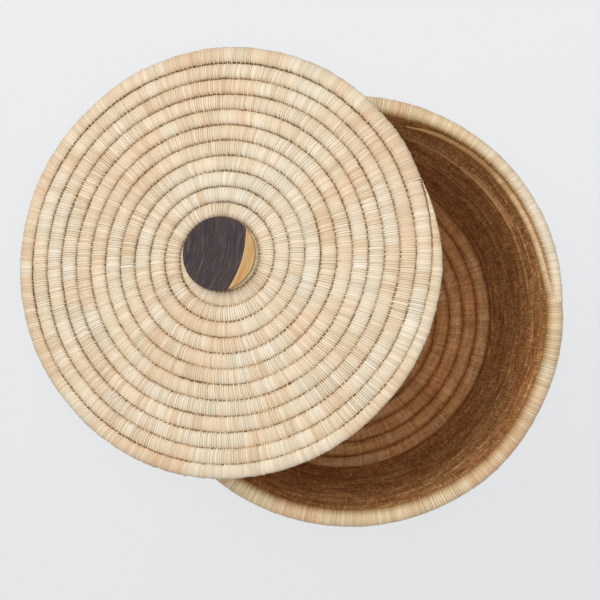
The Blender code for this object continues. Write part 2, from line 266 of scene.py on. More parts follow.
def strawMaterial(name, shade, inside=None, outside=None, fade=None, nextCourse=1.0, innerShade=None, lean=0.0,
                  seam=0.0, innerSeam=1.0, outerSeam=(0.94, 0.99, 0.4)):
    # inside: the colours of the side that faces into the basket, painted shade: a darker, warmer copy of the
    # straw
    # outside: how far from the basket's centre line everything is outside, where the painted shade of the
    # inside stops
    # fade: another shade that takes over along the first wraps
    # nextCourse is 0 on a course that has none beyond it, so that its outer side stays clear
    # painted shade: colours from the crest down the inner side; lean: how far the coil is turned about its
    # own line
    # seam: how open it lies against the course before; innerSeam: how dark the seam's painted shade is there
    # outerSeam: where the seam's painted shade beside the next course begins and is full, round the coil, and
    # how dark it is
    made, shader, wire = newMaterial(name, Roughness=0.6, Specular_IOR_Level=0.05 if inside else 0.3)
    paint = wire.node("ShaderNodeAttribute", {"attribute_name": "straw"}, output="Color")
    stitch = paint.other("Alpha")
    tone = wire.node("ShaderNodeSeparateColor", inputs={0: paint})
    light, gap = tone.other("Green"), tone.other("Blue")
    uv = wire.node("ShaderNodeUVMap", {"uv_map": "wraps"})
    along = wire.node("ShaderNodeSeparateXYZ", inputs={0: uv})
    around = along.other("Y")
    place = wire.node("ShaderNodeTexCoord", output="Object")
    speckle = place.cloud(strawGrain["speckle"], 2.0)
    blotch = place.cloud(strawGrain["blotch"], 2.0)
    broad = place.cloud(strawGrain["broad"], 1.0)
    patchy = place.cloud(strawGrain["patch"], 1.0).smooth(0.35, 0.65) * 0.3 + 0.7
    perWrap, perTurn = strawGrain["streak"]
    streak = (along * perWrap).streaks(around * perTurn, 2.0)
    perWrap, perTurn = strawGrain["fibre"]
    fibre = (along * perWrap).streaks(around * perTurn, 3.0, 0.6)
    outward = wire.math("COSINE", around * fullTurn)
    inward = wire.math("SINE", around * fullTurn + math.radians(lean))
    between = wire.math("ABSOLUTE", wire.math("FRACT", along) - 0.5).smooth(0.16, 0.36)
    # painted shade: each course turns darker and warmer towards the next course, partly the warmer straw
    # where the strip goes down into the seam
    shoulder = outward.smooth(0.2, 0.95) * 0.35 * nextCourse
    # painted shade down in the seams between courses, together with the seams' own dark
    seamStart, seamEnd, seamDepth = outerSeam
    outerGroove = outward.smooth(seamStart, seamEnd) * (between * 0.4 + 0.6) * seamDepth * nextCourse
    inner = (0.0 - outward).smooth(0.88 - seam * 0.28, 0.97 - seam * 0.2)
    inner = inner * (between * 0.6 + 0.4 - stitch * 0.1) * innerSeam
    groove = ((outerGroove + inner) * patchy).clamped()
    sides = wire.math("ABSOLUTE", outward).smooth(0.4, 1.0)

    def strawColor(shade):
        shift = (blotch - 0.5) * 0.4 + (broad - 0.5) * shade["drift"]
        color = (tone + shift).ramp([fromHex(code) for code in shade["tones"]])
        color = shoulder.mixed(color, fromHex(shade["shoulder"]))
        # painted shade across each course, darker towards both its neighbours
        if shade["roundShade"]:
            color = (sides * shade["roundShade"]).mixed(color, fromHex(shade["shoulder"]))
        color = groove.mixed(color, fromHex(shade["groove"]))
        # painted shade in the gaps between strips, with their own dark
        color = gap.mixed(color, fromHex(shade["gap"]))
        if shade["speckle"]:
            calm = 1 - light.smooth(1.0, 1.5) * 0.7  # a strip that is far lighter than most shows few specks
            specks = (speckle.smooth(0.3, 0.7) + streak.smooth(0.25, 0.75) - 1) * calm
            color = (specks * 0.6 * shade["speckle"] + 1).tint(shade["speckle"]).times(color)
        shine = light if shade["speckle"] else light.clamped()
        brightness = 0.98 + (shine - 0.5) * shade["spread"] + (fibre - 0.5) * 0.24
        return brightness.tint().times(light.ramp([fromHex("FFFAEF"), fromHex("FFFFFF")]).times(color))

    color = strawColor(shade)
    # painted shade on the side that faces into the basket
    if inside:
        facing = inward.smooth(-0.95, -0.5)
        if outside:
            flat = wire.node("ShaderNodeVectorMath", {"operation": "MULTIPLY"}, {0: place, 1: (1, 1, 0)})
            reach = wire.node("ShaderNodeVectorMath", {"operation": "LENGTH"}, {0: flat}, "Value")
            facing = facing * (1 - reach.smooth(outside - strawGrain["blend"], outside + strawGrain["blend"]))
        color = facing.mixed(color, strawColor(inside))
    if fade:
        color = along.smooth(5.0, 60.0).mixed(color, strawColor(fade))
    # painted shade of the round coil, from its crest down the inner side
    if innerShade:
        color = color.times(inward.ramp([fromHex(code) for code in innerShade]))
        # painted shade between the stitches, where the coil faces into the basket
        teeth = (gap * 3.0).clamped() * inward.smooth(0.3, 0.9) * 0.7 * (1 - seam * 0.6)
        color = teeth.mixed(color, fromHex(strawGrain["teeth"]))
    connect(color, shader.inputs["Base Color"])
    height = fibre * 0.6 + blotch * 0.4
    relief = {"Strength": 0.3, "Distance": strawGrain["bump"], "Height": height}
    connect(wire.node("ShaderNodeBump", inputs=relief), shader.inputs["Normal"])
    return made


# One wrap of straw strip round the grass bundle, a unit wide, along X
wrap = {
    "gapShare": 0.12,  # share of the wrap's length that falls away into the gap, at either end
    "gapDepth": 0.06,
    "stitchReach": 0.09,  # how far a stitch bites over the course before
    "stitchDrop": 0.03,
    "stitchNarrow": 0.5,
    "swell": (0.012, 6, 0.012),  # how thick it varies: from wrap to wrap, and over so many wraps by so much
    "aside": (0.012, 5, 0.018),  # how far it lies out of line, likewise
}


def selectBy(obj, test, domain="faces"):
    mesh = bmesh.from_edit_mesh(obj.data)
    for part in getattr(mesh, domain):
        where = part.calc_center_median() if domain == "faces" else part.co
        part.select_set(bool(test(where)))
    mesh.select_flush_mode()
    bmesh.update_edit_mesh(obj.data)


def makeWrap(name, spec):
    deselectAll()
    bpy.ops.mesh.primitive_cylinder_add(vertices=spec["sides"], radius=0.5, depth=1, end_fill_type="NOTHING",
                                        rotation=(0, math.radians(90), 0))
    made = bpy.context.object
    made.name = name
    bpy.ops.object.transform_apply(location=True, rotation=True, scale=True)
    bpy.ops.object.mode_set(mode="EDIT")
    for side in (-1, 1):
        bpy.ops.mesh.select_all(action="SELECT")
        bpy.ops.mesh.bisect(plane_co=(side * (0.5 - wrap["gapShare"]), 0, 0), plane_no=(1, 0, 0))
    bpy.ops.mesh.select_mode(type="VERT")
    selectBy(made, lambda co: abs(co.x) > 0.49, "verts")
    bpy.ops.transform.resize(value=(1, 1 - wrap["gapDepth"], 1 - wrap["gapDepth"]))
    bpy.ops.mesh.select_mode(type="FACE")
    stitched = []
    for lift in (-1, 1):  # a stitch over each shoulder, towards the course before at -Y
        selectBy(made, lambda co: abs(co.x) < 0.1 and co.y < -0.2 and 0.05 < co.z * lift < 0.36)
        bpy.ops.mesh.extrude_region_move(
            TRANSFORM_OT_translate={"value": (0, -wrap["stitchReach"], -lift * wrap["stitchDrop"])}
        )
        bpy.ops.transform.resize(value=(wrap["stitchNarrow"], 1, 1))
        mesh = bmesh.from_edit_mesh(made.data)
        stitched += [vert.index for vert in mesh.verts if vert.select]
    bpy.ops.object.mode_set(mode="OBJECT")
    marks = made.data.attributes.new("stitch", "FLOAT", "POINT")
    for index in stitched:
        marks.data[index].value = 1.0
    squareUp(made, spec["square"])
    layUv(made)
    made.rotation_euler = (math.radians(spec["turn"]), 0, 0)
    bpy.ops.object.transform_apply(location=True, rotation=True, scale=True)
    return made


def readPoints(mesh):
    points = np.empty(len(mesh.vertices) * 3, np.float32)
    mesh.vertices.foreach_get("co", points)
    return points.reshape(-1, 3)


def writePoints(mesh, points):
    mesh.vertices.foreach_set("co", points.astype(np.float32).ravel())
    mesh.update()


def squareUp(obj, power):
    # pushes the round section out towards a square one, so that the courses sit close: 2 leaves it round
    points = readPoints(obj.data)
    reach = np.hypot(points[:, 1], points[:, 2])
    angle = np.arctan2(points[:, 2], points[:, 1])
    out = (np.abs(np.cos(angle)) ** power + np.abs(np.sin(angle)) ** power) ** (-1 / power)
    points[:, 1] = np.cos(angle) * reach * out
    points[:, 2] = np.sin(angle) * reach * out
    writePoints(obj.data, points)


def layUv(obj):
    # U counts the wraps along the coil, and V runs round it from the side away from the course before
    mesh = obj.data
    while mesh.uv_layers:
        mesh.uv_layers.remove(mesh.uv_layers[0])
    layer = mesh.uv_layers.new(name="wraps")
    for face in mesh.polygons:
        middle = math.atan2(face.center.z, face.center.y)
        for loop in face.loop_indices:
            co = mesh.vertices[mesh.loops[loop].vertex_index].co
            angle = math.atan2(co.z, co.y)
            angle += fullTurn * round((middle - angle) / fullTurn)
            layer.data[loop].uv = (co.x + 0.5, angle / fullTurn)


def makePath(name, points, widths, roll):
    curve = bpy.data.curves.new(name, "CURVE")
    curve.dimensions = "3D"
    curve.twist_mode = "Z_UP"
    spline = curve.splines.new("POLY")
    spline.points.add(len(points) - 1)
    for point, place, width in zip(spline.points, points, widths):
        point.co = (*place, 1)
        point.radius = width
        point.tilt = math.radians(roll)
    path = bpy.data.objects.new(name, curve)
    bpy.context.scene.collection.objects.link(path)
    return path


def pathLength(points):
    return sum(math.dist(a, b) for a, b in zip(points, points[1:]))


def patches(count, rng, mean, low=0.0, high=1.0):
    # strips of one leaf follow each other: a tone holds for a few wraps, then changes over two or three
    tones = np.empty(count)
    done = 0
    while done < count:
        run = 2 + int(rng.exponential(mean))
        tones[done:done + run] = low + (high - low) * rng.beta(1.4, 1.6)
        done += run
    tones = np.convolve(np.pad(tones, 1, "edge"), [0.25, 0.5, 0.25], "valid")
    return np.clip(tones + rng.normal(0, 0.07, count), 0, 1)


def drift(count, rng, spacing, amount):
    # smooth random wander along a coil
    knots = np.arange(0, count + 2 * spacing, spacing)
    values = rng.normal(0, amount, len(knots))
    return np.interp(np.arange(count), knots, np.convolve(values, [0.25, 0.5, 0.25], "same"))


def wander(count, rng, quick, spacing, slow):
    return rng.normal(0, quick, count) + drift(count, rng, spacing, slow)


def planWraps(count, spec):
    # what differs from wrap to wrap: where it ends, its size, tone, slant, gap and stitch
    rng = np.random.default_rng(spec["seed"])
    plan = {"ends": np.arange(count + 1.0)}
    plan["ends"][1:-1] += rng.uniform(-1, 1, count - 1) * spec["uneven"]
    plan["swell"] = 1 + wander(count, rng, *wrap["swell"])
    plan["aside"] = wander(count, rng, *wrap["aside"]) * spec.get("loose", 1.0)
    plan["tones"] = patches(count, rng, spec["patchLength"], *spec["toneRange"])
    plan["lights"] = np.clip(rng.normal(0.5, 0.28, count) + 0.3 * (patches(count, rng, 5) - 0.5), 0, 1)
    plan["lights"] += spec.get("light", 0.0)
    strength = (0.15 + 0.85 * patches(count + 1, rng, 12) ** 1.3) * rng.uniform(0.2, 1.4, count + 1)
    plan["gaps"] = np.clip(strength * spec["gapStrength"], 0, 1)
    fromEnd = np.minimum(np.arange(count), np.arange(count)[::-1])
    plan["slant"] = drift(count, rng, 40, 0.6) * np.minimum(1, fromEnd / 12)
    sway = np.clip(drift(count, rng, 25, 0.5), -0.5, 0.5) * spec["stitchSway"]
    everyOther = np.where(np.arange(count) % 2, 1, -1) * sway
    plan["stitches"] = np.clip(0.65 + rng.normal(0, 0.22, count) * spec["stitchSway"] + everyOther, 0, 1.3)
    return plan


def loosen(mesh, spec, plan, count, pitch):
    # moves each wrap's points by its own plan, while the coil is still straight along X
    marks = np.empty(len(mesh.vertices), np.float32)
    mesh.attributes["stitch"].data.foreach_get("value", marks)
    turn = math.radians(spec["turn"])
    co = readPoints(mesh)
    u = co[:, 0] / pitch
    index = np.clip(np.floor(u), 0, count - 1).astype(int)
    phase = u - index
    inside = np.clip(np.minimum(phase, 1 - phase) / wrap["gapShare"], 0, 1)
    size = 1 + (plan["swell"][index] - 1) * inside
    back = marks * (1 - plan["stitches"][index]) * wrap["stitchReach"] * spec["width"]
    co[:, 1] += back * math.cos(turn)
    co[:, 2] += back * math.sin(turn)
    across = co[:, 1] * math.cos(turn) + co[:, 2] * math.sin(turn)
    co[:, 0] = np.interp(co[:, 0], np.arange(count + 1) * pitch, plan["ends"] * pitch)
    co[:, 0] += across / spec["width"] * plan["slant"][index] * pitch
    co[:, 1] *= size
    co[:, 2] *= size
    aside = plan["aside"][index] * inside * spec["width"]
    co[:, 1] += aside * math.cos(turn)
    co[:, 2] += aside * math.sin(turn)
    writePoints(mesh, co)


def paintWraps(mesh, first, plan):
    count = len(plan["tones"])
    uv = np.empty(len(mesh.loops) * 2, np.float32)
    mesh.uv_layers["wraps"].data.foreach_get("uv", uv)
    u = uv[0::2]
    starts = np.empty(len(mesh.polygons), np.int32)
    totals = np.empty(len(mesh.polygons), np.int32)
    mesh.polygons.foreach_get("loop_start", starts)
    mesh.polygons.foreach_get("loop_total", totals)
    middle = np.add.reduceat(u, starts) / totals
    index = np.repeat(np.clip(np.floor(middle).astype(int) + first, 0, count - 1), totals)
    phase = np.clip(u + first - index, 0, 1)
    near = np.clip(1 - np.minimum(phase, 1 - phase) / wrap["gapShare"], 0, 1)
    color = np.empty((len(u), 4), np.float32)
    color[:, 0] = plan["tones"][index]
    color[:, 1] = plan["lights"][index]
    color[:, 2] = near * np.where(phase < 0.5, plan["gaps"][index], plan["gaps"][index + 1])
    color[:, 3] = plan["stitches"][index]
    layer = mesh.color_attributes.new("straw", "FLOAT_COLOR", "CORNER")
    layer.data.foreach_set("color", color.ravel())


def strawCoil(name, spec, points, widths, material, body, nodes, place=None):
    # an Array of wraps, loosened a little, bent along the path by a Curve modifier, in pieces of limited size
    length = pathLength(points)
    count = round(length / spec["pitch"])
    pitch = length / count
    plan = planWraps(count, spec)
    # runs: stretches from one turn of the coil to another, with tones and a lightness set apart from the rest
    for start, end, tones, light in spec.get("runs", ()):
        lengths = (pathLength(points[:round(turn * pathSteps) + 1]) for turn in (start, end))
        first, last = (round(reach / pitch) for reach in lengths)
        steady = np.linspace(*tones, last - first)
        plan["tones"][first:last] = steady + (plan["tones"][first:last] - 0.5) * 0.2
        plan["lights"][first:last] += light
    path = makePath(name + "Path", points, widths, spec.get("roll", 0.0))
    faces = 0
    parts = math.ceil(count / spec["mostWraps"])
    for part in range(parts):
        first = count * part // parts
        last = count * (part + 1) // parts
        piece = makeWrap(name if parts == 1 else f"{name}_{part + 1}", spec)
        piece.scale = (pitch, spec["width"], spec["height"])  # the wrap is already turned
        piece.location = ((first + 0.5) * pitch, 0, 0)
        bpy.ops.object.transform_apply(location=True, rotation=True, scale=True)
        array = piece.modifiers.new("Array", "ARRAY")
        array.use_relative_offset = False
        array.use_constant_offset = True
        array.constant_offset_displace = (pitch, 0, 0)
        array.offset_u = 1.0
        array.count = last - first
        array.use_merge_vertices = True
        array.merge_threshold = 0.00001
        pick(piece)
        bpy.ops.object.modifier_apply(modifier="Array")
        bpy.ops.object.mode_set(mode="EDIT")
        bpy.ops.mesh.select_all(action="SELECT")
        bpy.ops.mesh.fill_holes(sides=spec["sides"])
        bpy.ops.object.mode_set(mode="OBJECT")
        loosen(piece.data, spec, plan, count, pitch)
        paintWraps(piece.data, first, plan)
        bend = piece.modifiers.new("Curve", "CURVE")
        bend.object = path
        bend.deform_axis = "POS_X"
        bpy.ops.object.modifier_apply(modifier="Curve")
        if place is not None:
            piece.data.transform(place)
        finish(piece, material, body, nodes)
        faces += len(piece.data.polygons)
    bpy.data.objects.remove(path)
    print(f"{name}: {count} wraps, {faces} faces")


def finish(piece, material, body, nodes):
    pick(piece)
    bpy.ops.object.shade_smooth()
    piece.data.materials.clear()
    piece.data.materials.append(material)
    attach(piece, body)
    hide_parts(*nodes)


# The lid: a flat spiral, counter-clockwise outwards, in its own level frame, then set on the rim
lid = {
    "seat": (-0.1298, 0, 0.3461),
    "tilt": 13.79,
    "roll": 13.79,  # of each course about its own line, its inner shoulder up
    "width": 0.0158,
    "height": 0.0124,
    "spacing": 0.01492,
    "level": 0.0062,  # of the coil's middle, above the underside
    "firstRadius": 0.0053,  # the first turn starts thin, close round the screw
    "firstWidth": 0.0044,
    "firstClimb": 0.00972,
    # how wide the last course is along its turn, as a share of the others
    "edgeShares": ((0.0, 1.02), (0.25, 1.02), (0.31, 0.9), (0.55, 0.84), (0.65, 0.9), (0.935, 0.65),
                   (1.0, 0.1)),
    "startAngle": 72,
    "turns": 12 + 22 / 24,
    "pitch": 0.0023,
    "uneven": 0.18,
    "patchLength": 7,
    "toneRange": (0.17, 0.83),
    "sides": 12,
    "square": 3.2,
    "turn": 180,
    "mostWraps": 1900,
    "seed": 4,
    "aside": (-0.0004, 0.0007),  # how far the courses lie off the centre at asideRadius
    "asideRadius": 0.2,
    "steadyRadius": 0.05,  # within which the coil strays less
    "wander": 0.0008,
    "wanderSize": 0.055,
    "gapStrength": 1.2,
    "stitchSway": 1.0,
    "tuck": 0.0007,  # how far the tip of the last course is pulled in
}


def lidCourse(turn):
    # centre line and width: the coil thickens over its first turn, then keeps its spacing
    swelling = min(turn, 1.0)
    radius = lid["firstRadius"] + lid["firstClimb"] * swelling + lid["spacing"] * (turn - swelling)
    return radius, lid["firstWidth"] + (lid["spacing"] - lid["firstWidth"]) * swelling


def lidPlace(turn, radius):
    angle = math.radians(lid["startAngle"]) + fullTurn * turn
    where = Vector((math.cos(angle), math.sin(angle), 0))
    stray = min(1.0, radius / lid["steadyRadius"])
    radius += lid["wander"] * noise.noise(where * radius / lid["wanderSize"]) * stray
    outer = (radius / lid["asideRadius"]) ** 2
    x, y = (radius * share + aside * outer for share, aside in zip(where, lid["aside"]))
    return x, y, lid["level"]


lidMatrix = Matrix.Translation(lid["seat"]) @ Matrix.Rotation(math.radians(-lid["tilt"]), 4, "Y")
lidStraw = strawMaterial("lidStraw", bleachedStraw, seam=0.1, innerSeam=0.4, outerSeam=(0.6, 0.76, 0.95))


def addLidCoil():
    points, widths = [], []
    for i in range(round(lid["turns"] * pathSteps) + 1):
        radius, width = lidCourse(i / pathSteps)
        points.append(lidPlace(i / pathSteps, radius))
        widths.append(width / lid["spacing"])
    strawCoil("lid_coil_straw", lid, points, widths, lidStraw, "lid", ["lid_coil"], lidMatrix)


def addLidEdge():
    points, widths = [], []
    for i in range(pathSteps + 1):
        turn = lid["turns"] + i / pathSteps
        inner = lidCourse(turn)[0] - lid["spacing"] / 2
        share = float(np.interp(i / pathSteps, *zip(*lid["edgeShares"])))
        points.append(lidPlace(turn, inner + share * lid["spacing"] / 2 - lid["tuck"] * (1 - share)))
        widths.append(share)
    spec = dict(lid, seed=5, gapStrength=0.5, toneRange=(0.25, 0.95), light=-0.15)
    straw = strawMaterial("lidEdgeStraw", bleachedStraw, nextCourse=0.0)
    strawCoil("lid_edge_straw", spec, points, widths, straw, "lid", ["lid_edge_coil"], lidMatrix)


addLidCoil()
addLidEdge()


# The basket's mouth: it stands out a little all round, except where the coil ends and under the lid
mouth = {
    "reach": 0.0026,
    "dent": 12,  # where the coil ends, in degrees round the basket
    "dentHalf": (12, 45),  # degrees to either side of it between which the mouth comes out
    "lidHalf": (105, 145),  # and between which it goes in again
}


def outOfRound(angle):
    away = abs((math.degrees(angle) - mouth["dent"] + 180) % 360 - 180)
    rise, fall = ((away - low) / (high - low) for low, high in (mouth["dentHalf"], mouth["lidHalf"]))
    rise, fall = (share * share * (3 - 2 * share) for share in (min(1, max(0, rise)), min(1, max(0, fall))))
    return mouth["reach"] * rise * (1 - fall)


def levelCoil(spec):
    # stacked courses that stay level: the first swells as it starts, each course steps up over that stretch,
    # and the tail thins over the same stretch again
    steps = round(spec["stepTurn"] * pathSteps)
    level = spec["courses"] * spec["rise"]
    tops, points, widths = {}, [], []
    for i in range(spec["courses"] * pathSteps + steps + 1):
        course, step = divmod(i, pathSteps)
        swell = min(1.0, spec["tipShare"] + (1 - spec["tipShare"]) * step / steps)
        foot = tops[i - pathSteps] if course else 0.0
        share = 1.0 if course else swell
        if course == spec["courses"]:
            share = (level - foot) / spec["rise"]
        if share < spec["tipShare"]:
            break
        tops[i] = foot + share * spec["rise"]
        middle = foot + share * spec["rise"] / 2
        radius = spec["footRadius"] + (spec["topRadius"] - spec["footRadius"]) * middle / level
        angle = math.radians(spec["startAngle"]) - fullTurn * i / pathSteps
        where = Vector((math.cos(angle), math.sin(angle), middle * 3))
        radius += spec["wander"] * noise.noise(where * wanderScale)
        radius += spec.get("mouthShare", 0.0) * outOfRound(angle) * (middle / level) ** 2
        points.append((radius * where.x, radius * where.y, spec["foot"] + middle))
        widths.append(share)
    return points, widths


# The collar under the lid: two stacked courses, seen when the lid is lifted
collar = {
    "courses": 2,
    "rise": 0.0111,
    "footRadius": 0.176,
    "topRadius": 0.176,
    "foot": -0.0223,
    "stepTurn": 4 / 24,
    "tipShare": 0.15,
    "wander": 0.0,
    "startAngle": 210,
    "width": 0.0124,
    "height": 0.0118,
    "loose": 0.6,  # how far the wraps lie out of line, against the lid's
    "pitch": 0.0026,
    "uneven": 0.18,
    "patchLength": 9,
    "toneRange": (0.2, 1.0),
    "sides": 8,
    "square": 2.3,
    "turn": -90,
    "mostWraps": 1900,
    "seed": 6,
    "gapStrength": 1.0,
    "stitchSway": 1.0,
}


def addCollar():
    points, widths = levelCoil(collar)
    strawCoil("lid_collar_straw", collar, points, widths, lidStraw, "lid", ["lid_collar"],
              lidMatrix)


addCollar()

# The floor: a knot, then a flat spiral, clockwise outwards, that thins out against the foot of the wall
floor = {
    "knotRadius": 0.006,
    "knotStrips": 12,
    "knotFold": 0.05,
    "knotSquare": 2.6,
    "clear": 0.0003,  # above the ground
    "firstGap": 0.0038,  # from the knot to the middle of the coil's start
    "firstClimb": 0.0107,
    "tipWidth": 0.005,
    "tailWidth": 0.0025,
    "width": 0.0172,
    "height": 0.0134,
    "loose": 0.6,
    "spacing": 0.01625,
    "edge": 0.1940,
    "startAngle": 132,
    "pitch": 0.0026,
    "uneven": 0.18,
    "patchLength": 9,
    "toneRange": (0.0, 1.0),
    "sides": 10,
    "square": 2.2,
    "turn": 0,
    "mostWraps": 1500,
    "seed": 7,
    "gapStrength": 0.7,
    "stitchSway": 0.3,
}
floorMaterial = strawMaterial("basketFloorStraw", bleachedStraw, floorShadedStraw, outside=0.188)


def floorCourse(turn):
    start = floor["knotRadius"] + floor["firstGap"]
    swelling = min(turn, 1.0)
    width = floor["tipWidth"] + (floor["spacing"] - floor["tipWidth"]) * swelling
    radius = start + floor["firstClimb"] * swelling + floor["spacing"] * (turn - swelling)
    inner = radius - width / 2
    width = min(width, floor["edge"] - inner)
    return inner + width / 2, width


def addFloorCoil():
    points, widths = [], []
    turn, width = 0.0, floor["spacing"]
    level = floor["height"] / 2 + floor["clear"]
    while width > floor["tailWidth"]:
        radius, width = floorCourse(turn)
        angle = math.radians(floor["startAngle"]) - fullTurn * turn
        points.append((radius * math.cos(angle), radius * math.sin(angle), level))
        widths.append(width / floor["spacing"])
        turn += 1 / pathSteps
    strawCoil("floor_coil_straw", floor, points, widths, floorMaterial, "basket", ["floor_coil"])


def addKnot():
    # the bound end of the bundle: strips folded over it from all sides
    deselectAll()
    bpy.ops.mesh.primitive_uv_sphere_add(segments=48, ring_count=16, radius=1)
    knot = bpy.context.object
    knot.name = "floor_centre_knot_straw"
    mesh = knot.data
    co = readPoints(mesh)
    angle = np.arctan2(co[:, 1], co[:, 0])
    rise = np.arctan2(co[:, 2], np.hypot(co[:, 0], co[:, 1]))
    fold = 1 - floor["knotFold"] * np.abs(np.sin(angle * floor["knotStrips"] / 2)) ** 0.5 * np.cos(rise)
    power = floor["knotSquare"]
    flat = (np.abs(np.cos(rise)) ** power + np.abs(np.sin(rise)) ** power) ** (-1 / power)
    co *= (fold * flat * np.array([[floor["knotRadius"]], [floor["knotRadius"]], [floor["height"] / 2]])).T
    co[:, 2] += floor["height"] / 2
    uv = mesh.uv_layers[0]
    uv.name = "wraps"
    layer = mesh.color_attributes.new("straw", "FLOAT_COLOR", "CORNER")
    rng = np.random.default_rng(11)
    tones = rng.uniform(0.2, 0.9, floor["knotStrips"])
    for face in mesh.polygons:
        middle = face.center
        strip = (math.atan2(middle.y, middle.x) / fullTurn + 0.5) * floor["knotStrips"]
        for loop in face.loop_indices:
            index = mesh.loops[loop].vertex_index
            phase = (angle[index] / fullTurn + 0.5) * floor["knotStrips"]
            edge = 1 - min(1.0, 4 * abs(phase - round(phase)))
            uv.data[loop].uv = (phase, max(-0.25, min(0.25, rise[index] * 1.7 / fullTurn)))
            layer.data[loop].color = (tones[int(strip) % floor["knotStrips"]], 0.5, edge * 0.5, 1.0)
    writePoints(mesh, co)
    finish(knot, floorMaterial, "basket", ["floor_centre_knot"])


addFloorCoil()
addKnot()

# The wall: twenty stacked courses, wound clockwise upwards
wall = {
    "courses": 20,
    "rise": 0.0150,
    "footRadius": 0.1863,
    "topRadius": 0.1984,
    "foot": 0.0137,
    "stepTurn": 0.117,
    "tipShare": 0.15,
    "wander": 0.0008,
    "startAngle": 19,
    "width": 0.0156,
    "height": 0.0162,  # more than the rise, so that no light shows between two courses
    "loose": 0.6,
    "mouthShare": 1.0,  # how fully the top follows the mouth
    "pitch": 0.0029,
    "uneven": 0.32,
    "patchLength": 26,
    "toneRange": (0.2, 1.0),
    "sides": 8,
    "square": 2.0,
    "turn": 90,
    "mostWraps": 2100,
    "seed": 8,
    "gapStrength": 1.3,
    "stitchSway": 1.0,
    # a lighter band along two courses: partly paler straw, partly painted light where a course stands out
    "runs": ((14.78, 14.85, (0.4, 0.1), 0.5), (14.85, 14.92, (0.0, -0.2), 1.2),
             (14.92, 14.97, (0.1, 0.4), 0.5), (15.86, 15.91, (0.3, 0.1), 0.7)),
}
wallMaterial = strawMaterial("basketWallStraw", bleachedStraw, wallShadedStraw)


def addWall():
    points, widths = levelCoil(wall)
    strawCoil("wall_straw", wall, points, widths, wallMaterial, "basket", ["wall_coils"])


addWall()

# The rim: one more course, sewn to its own start, which swells out of the inner side while the coil's tail
# thins towards the upper outer side and is bound in at its end. Shares are of the full section, by degrees
rim = {
    "radius": 0.1987,
    "middle": 0.3209,
    "startAngle": 95,
    "startShares": ((0, 0.1), (8, 0.34), (21, 0.46), (48, 0.48), (57, 0.52), (63, 0.6), (67, 0.82),
                    (71, 1.0)),
    "startInward": 0.0150,
    "startDrop": 0.7,  # how much of what the start lacks in height it lies lower by
    "tailShares": ((0, 1.0), (8, 0.86), (21, 0.79), (40, 0.79), (48, 0.82), (57, 0.78), (63, 0.73),
                   (70.4, 0.69), (71, 0.45)),
    "tailRise": 0.75,
    "wander": 0.0008,
    "width": 0.0168,
    "height": 0.0142,
    "pitch": 0.0027,
    "uneven": 0.18,
    "patchLength": 9,
    "toneRange": (0.1, 0.75),
    "sides": 12,
    "square": 2.2,
    "turn": 90,
    "mostWraps": 1900,
    "seed": 9,
    "gapStrength": 1.1,
    "stitchSway": 1.0,
    "runs": ((0.0, 0.04, (1.5, 1.3), -0.5), (0.04, 0.09, (1.2, 1.0), -0.4),
             (0.09, 0.20, (0.95, 0.5), -0.2)),
}
# the tail lies turned on its side, so its width and height change places
tail = dict(rim, seed=12, roll=-80, width=rim["height"], height=rim["width"], runs=(), toneRange=(0.15, 0.65),
            gapStrength=0.6)


def rimPoint(angle, level, inward):
    radius = rim["radius"] + outOfRound(angle) - inward
    radius += rim["wander"] * noise.noise(Vector((math.cos(angle), math.sin(angle), 7)) * wanderScale)
    return radius * math.cos(angle), radius * math.sin(angle), rim["middle"] + level


def addRim():
    points, widths = [], []
    for i in range(pathSteps + 1):
        past = 360 * i / pathSteps
        share = float(np.interp(past, *zip(*rim["startShares"])))
        level = (share - 1) * rim["height"] / 2 * rim["startDrop"]
        inward = (1 - share) * rim["startInward"]
        points.append(rimPoint(math.radians(rim["startAngle"] - past), level, inward))
        widths.append(share)
    material = strawMaterial("rimStraw", rimShade, nextCourse=0.0, innerShade=rimInnerShade)
    strawCoil("rim_straw", rim, points, widths, material, "basket", ["rim_coil"])


def addTail():
    points, widths = [], []
    last = rim["tailShares"][-1][0]
    steps = round(last / 360 * pathSteps * 2)
    for i in range(steps + 1):
        past = last * i / steps
        share = float(np.interp(past, *zip(*rim["tailShares"])))
        aside = (1 - share) * rim["width"] / 2 * rim["tailRise"]
        points.append(rimPoint(math.radians(rim["startAngle"] - past), aside, -aside))
        widths.append(share)
    material = strawMaterial("rimTailStraw", rimShade, fade=bleachedStraw, nextCourse=0.0, innerShade=rimInnerShade,
                             lean=tail["roll"], seam=1.0, innerSeam=0.3)
    strawCoil("rim_tail_straw", tail, points, widths, material, "basket", ["rim_coil"])


addTail()
addRim()

# The knob: a turned disc of dark heartwood with a strip of pale sapwood, on a smaller foot
knob = {
    "aside": (-0.0007, 0.0018),  # from the centre of the lid
    "radius": 0.0353,
    "undercut": 0.96,  # the disc's lower face, as a share of the upper one
    "thickness": 0.0100,
    "edgeRound": 0.0005,
    "underRound": 0.0026,
    "footRound": 0.0004,
    "footRadius": 0.0250,
    "footHeight": 0.0022,
    "seat": 0.0127,
    "sides": 96,
    "ringRadius": 0.0946,  # growth rings: arcs of one size, each a little further to the left
    "ringCentre": (-0.0686, 0.0200),  # of the ring between the two woods, along and across the picture
    "ringSway": 0.0009,
    "grainTurn": 22,
    "fineGrain": (800, 50),  # cycles to the metre, across and along the rings
    "broadGrain": (220, 18),
}


def setOnLid(obj, material, node):
    # its material reads where each point lies on the level piece, which is noted before it is tilted
    layer = obj.data.attributes.new("grain", "FLOAT_VECTOR", "POINT")
    layer.data.foreach_set("vector", readPoints(obj.data).ravel())
    obj.data.transform(Matrix.Translation((*knob["aside"], 0)))
    obj.data.transform(lidMatrix)
    finish(obj, material, "lid", [node])
    bpy.ops.object.shade_smooth_by_angle(angle=math.radians(35))


